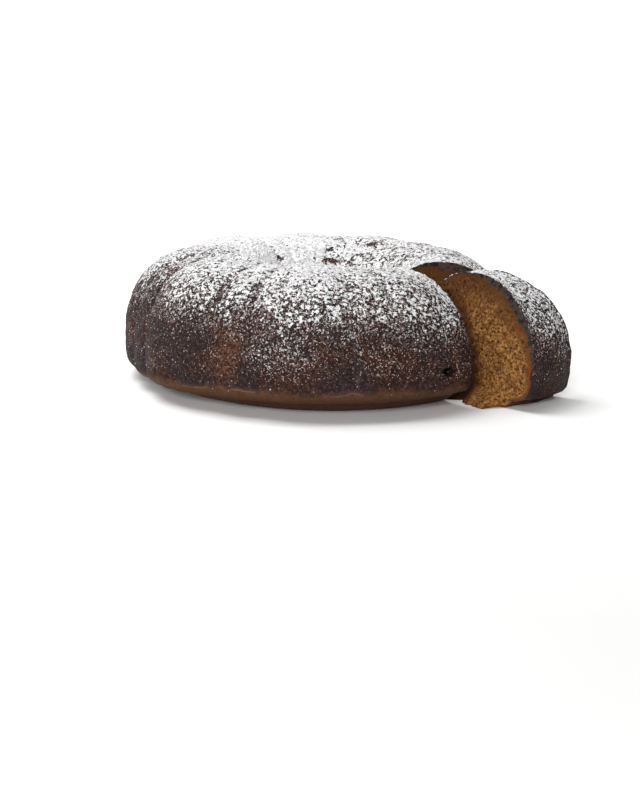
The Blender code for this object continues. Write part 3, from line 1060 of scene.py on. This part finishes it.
def crumb_material(finish):
    """Cut butter cake: golden brown, soft and open, full of small pores and pale torn crumbs, browner
    towards the crust, whose own cut edge is a dark plum band, reddish inside in places. Its pores are
    painted dark as shade. Towards the hole it is browner and painted with shade, and low at the foot it
    is painted darker still as shade in the gap between the pieces."""
    material, tree, shader, where = new_material("cut_plum_cake_crumb")
    seen = readings(tree, where, {
        "broad": (17.0 * MM, 3.0, 0.5),
        "blotches": (5.5 * MM, 3.0, 0.6),
        "mottle": (2.7 * MM, 3.0, 0.6),
        "fine": (1.3 * MM, 2.0, 0.6),
    }, "pore", "crust_depth", "height", "baked")
    crumb = layered(
        tree, seen, finish.crumb_gold,
        (finish.crumb_brown, "broad", 0.40, 0.66, 0.55),
        (finish.crumb_brown, "mottle", 0.50, 0.64, 0.85),
        (finish.crumb_pale, "mottle", 0.46, 0.36, 0.50),
        (finish.crumb_pale, "fine", 0.55, 0.65, 0.55),
        (finish.crumb_brown, "fine", 0.48, 0.39, 0.80),
        # Browner towards the top, browner with painted shade towards the hole, and painted shade at the
        # foot in the gap between the pieces.
        (finish.crumb_brown, "baked", 0.0, 1.0, 0.85),
        (finish.crumb_pore_shade, "baked", 1.0, 2.0, 0.85),
    )

    # Painted shade in round pores, in cells of two sizes, wider in some cells than in others, and in the
    # modelled ones
    for cell, wide in ((3.3 * MM, 0.25), (2.2 * MM, 0.30)):
        cells = add_node(tree, "ShaderNodeTexVoronoi", {"Vector": where, "Scale": 1.0 / cell})
        open_cells = add_node(tree, "ShaderNodeMapRange", {
            "Value": cells.outputs["Color"], "From Min": 0.30, "From Max": 0.50,
            "To Min": -0.2, "To Max": wide,
        }).outputs["Result"]
        inside = add_node(tree, "ShaderNodeMath", {
            0: open_cells, 1: cells.outputs["Distance"],
        }, operation="SUBTRACT").outputs[0]
        crumb = layered(tree, seen, crumb, (finish.crumb_pore_shade, inside, -0.05, 0.12, 0.85))
    wavering = add_node(tree, "ShaderNodeMath", {
        0: seen["blotches"], 1: 1.1, 2: seen["crust_depth"],
    }, operation="MULTIPLY_ADD").outputs[0]
    # Painted shade in the modelled pores, then browner near the crust.
    crumb = layered(
        tree, seen, crumb,
        (finish.crumb_pore_shade, "pore", 0.08, 0.70, 0.85),
        (finish.crumb_brown, wavering, 5.0, 1.7, 0.85),
    )

    # The cut edge of the crust, with a thin line inside it that is redder low down
    low = add_node(tree, "ShaderNodeMapRange", {
        "Value": seen["height"], "From Min": 0.058, "From Max": 0.042, "To Min": 0.25,
    }).outputs["Result"]
    reddish = add_node(tree, "ShaderNodeMath", {
        0: seen["broad"], 1: low,
    }, operation="MULTIPLY").outputs[0]
    red = layered(tree, seen, crumb, (finish.crumb_red, reddish, 0.36, 0.52, 0.8))
    edge = layered(
        tree, seen, finish.cut_crust,
        (finish.cut_plum, "blotches", 0.48, 0.60, 0.6),
        (finish.crust_black, "mottle", 0.52, 0.40, 0.8),
        (finish.crust_fleck, "fine", 0.60, 0.74, 0.4),
    )
    crumb = layered(tree, seen, crumb, (red, wavering, 2.6, 1.75, 1.0), (edge, wavering, 1.80, 1.35, 1.0))
    uneven = add_node(tree, "ShaderNodeBump", {
        "Strength": 0.9, "Distance": 0.50 * MM, "Height": seen["mottle"],
    })
    crumbly = add_node(tree, "ShaderNodeBump", {
        "Strength": 0.9, "Distance": 0.40 * MM, "Height": seen["fine"],
        "Normal": uneven.outputs["Normal"],
    })
    tree.links.new(crumb, shader.inputs["Base Color"])
    tree.links.new(crumbly.outputs["Normal"], shader.inputs["Normal"])
    shader.inputs["Roughness"].default_value = 0.90
    shader.inputs["Specular IOR Level"].default_value = 0.10
    return material


def sugar_material(finish):
    """Icing sugar: fine white powder that has clumped, matt, and never quite pure white."""
    material, tree, shader, where = new_material("icing_sugar_powder")
    seen = readings(tree, where, {"clumping": (1.1 * MM, 2.0, 0.6)}, "sugar_share")
    powder = layered(
        tree, seen, finish.sugar_white,
        (finish.sugar_grey, "clumping", 0.46, 0.62, 0.7),
        (finish.sugar_grey, "sugar_share", 0.40, 0.05, 0.28),
    )
    tree.links.new(powder, shader.inputs["Base Color"])
    shader.inputs["Roughness"].default_value = 0.95
    shader.inputs["Specular IOR Level"].default_value = 0.15
    return material


def floor_material(studio):
    """Matt seamless paper, even and almost white."""
    material, tree, shader, where = new_material("pale_seamless_paper")
    seen = readings(tree, where, {"shade": (90.0 * MM, 2.0, 0.5)})
    dull = tuple(channel * DULLER for channel in studio.floor_colour[:3]) + (1.0,)
    paper = layered(tree, seen, studio.floor_colour, (dull, "shade", 0.35, 0.65, 1.0))
    tree.links.new(paper, shader.inputs["Base Color"])
    shader.inputs["Roughness"].default_value = 0.9
    return material


class CAKE_OT_add_ring(bpy.types.Operator):
    """Add the fluted ring with its two cut faces"""

    bl_idname = "cake.add_ring"
    bl_label = "Add cake ring"

    def execute(self, context):
        mesh = cake_mesh("fluted_ring", context.scene.cake_shape, **RING)
        ring = add_cake(mesh, Matrix.Identity(4))
        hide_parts("cake_ring")
        return {"FINISHED"}


class CAKE_OT_add_slice(bpy.types.Operator):
    """Add the slice, drawn out of the ring"""

    bl_idname = "cake.add_slice"
    bl_label = "Add cut slice"

    def execute(self, context):
        shape = context.scene.cake_shape
        mesh = cake_mesh("cut_slice", shape, **SLICE)
        settle_slice(mesh)
        drawn_out = Matrix.Translation((shape.slice_drawn_x, -shape.slice_drawn_y, 0.0))
        piece = add_cake(mesh, drawn_out @ Matrix.Rotation(shape.slice_turn, 4, "Z"))
        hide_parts("cake_slice")
        return {"FINISHED"}


def crust_triangles(cakes):
    """The crust's triangles: their corners, the normals and sugar share there, and their areas."""
    found = []
    for mesh in (cake.data for cake in cakes):
        mesh.calc_loop_triangles()
        index = np.empty(len(mesh.loop_triangles) * 3, dtype=np.int32)
        mesh.loop_triangles.foreach_get("vertices", index)
        kind = np.empty(len(mesh.loop_triangles), dtype=np.int32)
        mesh.loop_triangles.foreach_get("material_index", kind)
        index = index.reshape(-1, 3)[kind == CRUST]
        kept = vertex_array(mesh, "co"), vertex_array(mesh, "normal"), kept_number(mesh, "sugar_share")
        found.append([values[index] for values in kept])
    corners, normals, shares = (np.concatenate(part) for part in zip(*found))
    across = np.cross(corners[:, 1] - corners[:, 0], corners[:, 2] - corners[:, 0])
    return corners, normals, shares, np.linalg.norm(across, axis=1) / 2.0


def draw_places(draw, triangles, count, power, stray):
    """Places on the crust with their normals and sugar share, denser where more sugar lies, and in
    small drifts. A stray share of them lies anywhere that sugar can."""
    corners, normals, shares, areas = triangles
    weight = areas * (stray * (shares.mean(axis=1) > STRAY_FROM) + shares.mean(axis=1) ** power)
    chosen = draw.choice(len(areas), size=count * 3, p=weight / weight.sum())
    split = draw.dirichlet((1.0, 1.0, 1.0), size=len(chosen))[:, :, None]
    places = (corners[chosen] * split).sum(axis=1)
    facing = (normals[chosen] * split).sum(axis=1)
    facing /= np.linalg.norm(facing, axis=1)[:, None]
    covered = (shares[chosen] * split[:, :, 0]).sum(axis=1)
    kept = draw.random(len(places)) < ease(*CLUMP_DRIFT_LEVELS, relief(places, CLUMP_DRIFTS))
    return places[kept][:count], facing[kept][:count], covered[kept][:count]


def unit_blob(divisions):
    """A round shape one unit across, as places and triangles."""
    builder = bmesh.new()
    if divisions:
        bmesh.ops.create_icosphere(builder, subdivisions=divisions, radius=0.5)
    else:
        bmesh.ops.create_uvsphere(builder, u_segments=5, v_segments=2, radius=0.5)
    bmesh.ops.triangulate(builder, faces=builder.faces[:])
    builder.verts.index_update()
    places = np.array([corner.co[:] for corner in builder.verts])
    triangles = np.array([[corner.index for corner in face.verts] for face in builder.faces])
    builder.free()
    return places, triangles


def joined_blobs(name, draw, blob, places, facing, widths, flatness):
    """One mesh of many blobs, each with its own size and turn, lying on the surface at its place."""
    points, triangles = blob
    count = len(places)
    aside = np.cross(facing, draw.normal(size=(count, 3)))
    aside /= np.linalg.norm(aside, axis=1)[:, None]
    along = np.cross(facing, aside)
    stretch = widths[:, None] * draw.uniform(*BLOB_STRETCH, size=(count, 3))
    stretch[:, 2] *= flatness
    lumpy = points[None] * draw.uniform(*BLOB_LUMPS, size=(count, len(points), 1))
    corners = places[:, None] + facing[:, None] * (stretch[:, 2] * BLOB_LIFT)[:, None, None]
    for axis, way in enumerate((aside, along, facing)):
        corners = corners + way[:, None] * (lumpy[:, :, axis] * stretch[:, axis:axis + 1])[:, :, None]
    faces = triangles[None] + (np.arange(count) * len(points))[:, None, None]
    mesh = bpy.data.meshes.new(name)
    mesh.vertices.add(count * len(points))
    mesh.vertices.foreach_set("co", corners.astype(np.float32).ravel())
    mesh.loops.add(faces.size)
    mesh.loops.foreach_set("vertex_index", faces.astype(np.int32).ravel())
    mesh.polygons.add(faces.size // 3)
    mesh.polygons.foreach_set("loop_start", np.arange(0, faces.size, 3, dtype=np.int32))
    mesh.update(calc_edges=True)
    return mesh


class CAKE_OT_dust_sugar(bpy.types.Operator):
    """Lay lumps, clumps, grains and specks of icing sugar on the crust"""

    bl_idname = "cake.dust_sugar"
    bl_label = "Dust with icing sugar"

    def execute(self, context):
        sugar = context.scene.sugar_dusting
        draw = np.random.default_rng(sugar.seed)
        triangles = crust_triangles([bpy.data.objects["fluted_ring"], bpy.data.objects["cut_slice"]])
        kinds = (
            ("icing_sugar_lumps", sugar.lumps, sugar.lump_width, unit_blob(1), 2.8, 0.0, 0.50),
            ("icing_sugar_clumps", sugar.clumps, sugar.clump_width, unit_blob(1), 2.3, 0.0, 0.55),
            ("icing_sugar_grains", sugar.grains, sugar.grain_width, unit_blob(0), 1.7, 0.0, 0.65),
            ("icing_sugar_specks", sugar.specks, sugar.speck_width, unit_blob(0), 0.8, 0.035, 0.75),
        )
        for name, count, width, blob, power, stray, flatness in kinds:
            places, facing, covered = draw_places(draw, triangles, count, power, stray)
            widths = width * np.exp(draw.normal(0.0, WIDTH_SPREAD, size=len(places)))
            mesh = joined_blobs(name, draw, blob, places, facing, widths, flatness)
            store(mesh, "sugar_share", np.repeat(covered, len(blob[0])))
            mesh.materials.append(shared(sugar_material))
            blobs = add_object(name, mesh)
            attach(blobs, BODY)
        return {"FINISHED"}


def add_floor(studio):
    """A level floor that turns up into a backdrop behind."""
    builder = bmesh.new()
    bmesh.ops.create_grid(builder, x_segments=1, y_segments=1, size=FLOOR_REACH)
    lowered = Vector((0.0, -FLOOR_FORWARD, -FLOOR_BELOW))
    bmesh.ops.translate(builder, verts=builder.verts[:], vec=lowered)
    back = [edge for edge in builder.edges if all(corner.co.y > 0.0 for corner in edge.verts)]
    raised = bmesh.ops.extrude_edge_only(builder, edges=back)
    risen = of_type(raised["geom"], bmesh.types.BMVert)
    bmesh.ops.translate(builder, verts=risen, vec=UP * BACKDROP_HEIGHT)
    bmesh.ops.bevel(
        builder, geom=back, offset=BACKDROP_CURVE, offset_type="OFFSET", affect="EDGES",
        segments=24, profile=0.5, material=-1,
    )
    bmesh.ops.recalc_face_normals(builder, faces=builder.faces[:])
    mesh = bpy.data.meshes.new("studio_floor")
    builder.to_mesh(mesh)
    builder.free()
    mesh.shade_smooth()
    mesh.materials.append(floor_material(studio))
    floor = add_object("studio_floor", mesh)


def add_light(name, watts, width, place, target):
    """A square soft light at a place, turned to a target."""
    light = bpy.data.lights.new(name, "AREA")
    light.energy = watts
    light.shape = "SQUARE"
    light.size = width
    lamp = add_object(name, light)
    lamp.location = place
    lamp.rotation_euler = (Vector(target) - Vector(place)).to_track_quat("-Z", "Y").to_euler()


def add_camera():
    """The camera, fitted to the photograph."""
    optics = bpy.data.cameras.new("photo_camera")
    optics.sensor_width = SENSOR
    optics.lens = SENSOR * FOCAL_PIXELS / PICTURE_HEIGHT
    optics.clip_start = 0.01
    camera = add_object("photo_camera", optics)
    elevation = math.radians(CAMERA_ELEVATION)
    back = Vector((0.0, -math.cos(elevation), math.sin(elevation)))
    camera.location = CAMERA_TARGET + back * CAMERA_DISTANCE
    downwards = elevation + math.atan(TARGET_ABOVE_MIDDLE / FOCAL_PIXELS)
    turned = Matrix.Rotation(math.pi / 2.0 - downwards, 4, "X")
    turned @= Matrix.Rotation(math.radians(CAMERA_ROLL), 4, "Z")
    camera.rotation_euler = turned.to_euler()
    bpy.context.scene.camera = camera


class CAKE_OT_set_stage(bpy.types.Operator):
    """Add the pale floor, the soft lights and the camera"""

    bl_idname = "cake.set_stage"
    bl_label = "Set the stage"

    def execute(self, context):
        scene = context.scene
        add_floor(scene.cake_studio)
        for name, watts, width, place, target in LIGHTS:
            add_light(name, getattr(scene.cake_studio, watts), width, place, target)
        world = bpy.data.worlds.new("studio_room")
        world.use_nodes = True
        room = world.node_tree.nodes["Background"].inputs
        room["Strength"].default_value = scene.cake_studio.room_strength
        room["Color"].default_value = (1.0, 1.0, 1.0, 1.0)
        scene.world = world
        scene.view_settings.view_transform = "Standard"
        add_camera()
        return {"FINISHED"}


class CAKE_PT_panel(bpy.types.Panel):
    """The cake's operators and settings"""

    bl_idname = "CAKE_PT_panel"
    bl_label = "Bundt cake"
    bl_space_type = "VIEW_3D"
    bl_region_type = "UI"
    bl_category = "Bundt cake"

    def draw(self, context):
        for step in STEPS:
            self.layout.operator(step.bl_idname)
        for _, name in GROUPS:
            column = self.layout.column()
            group = getattr(context.scene, name)
            for key in group.__annotations__:
                column.prop(group, key)


GROUPS = (
    (CakeShape, "cake_shape"),
    (CakeFinish, "cake_finish"),
    (SugarDusting, "sugar_dusting"),
    (StudioSettings, "cake_studio"),
)
STEPS = (CAKE_OT_add_ring, CAKE_OT_add_slice, CAKE_OT_dust_sugar, CAKE_OT_set_stage)


def register():
    for group, name in GROUPS:
        bpy.utils.register_class(group)
        setattr(bpy.types.Scene, name, PointerProperty(type=group))
    for shown in (*STEPS, CAKE_PT_panel):
        bpy.utils.register_class(shown)


def unregister():
    for shown in reversed((*STEPS, CAKE_PT_panel)):
        bpy.utils.unregister_class(shown)
    for group, name in reversed(GROUPS):
        delattr(bpy.types.Scene, name)
        bpy.utils.unregister_class(group)


def main():
    register()
    bpy.ops.cake.add_ring()
    bpy.ops.cake.add_slice()
    bpy.ops.cake.dust_sugar()
    bpy.ops.cake.set_stage()


if __name__ == "__main__":
    main()
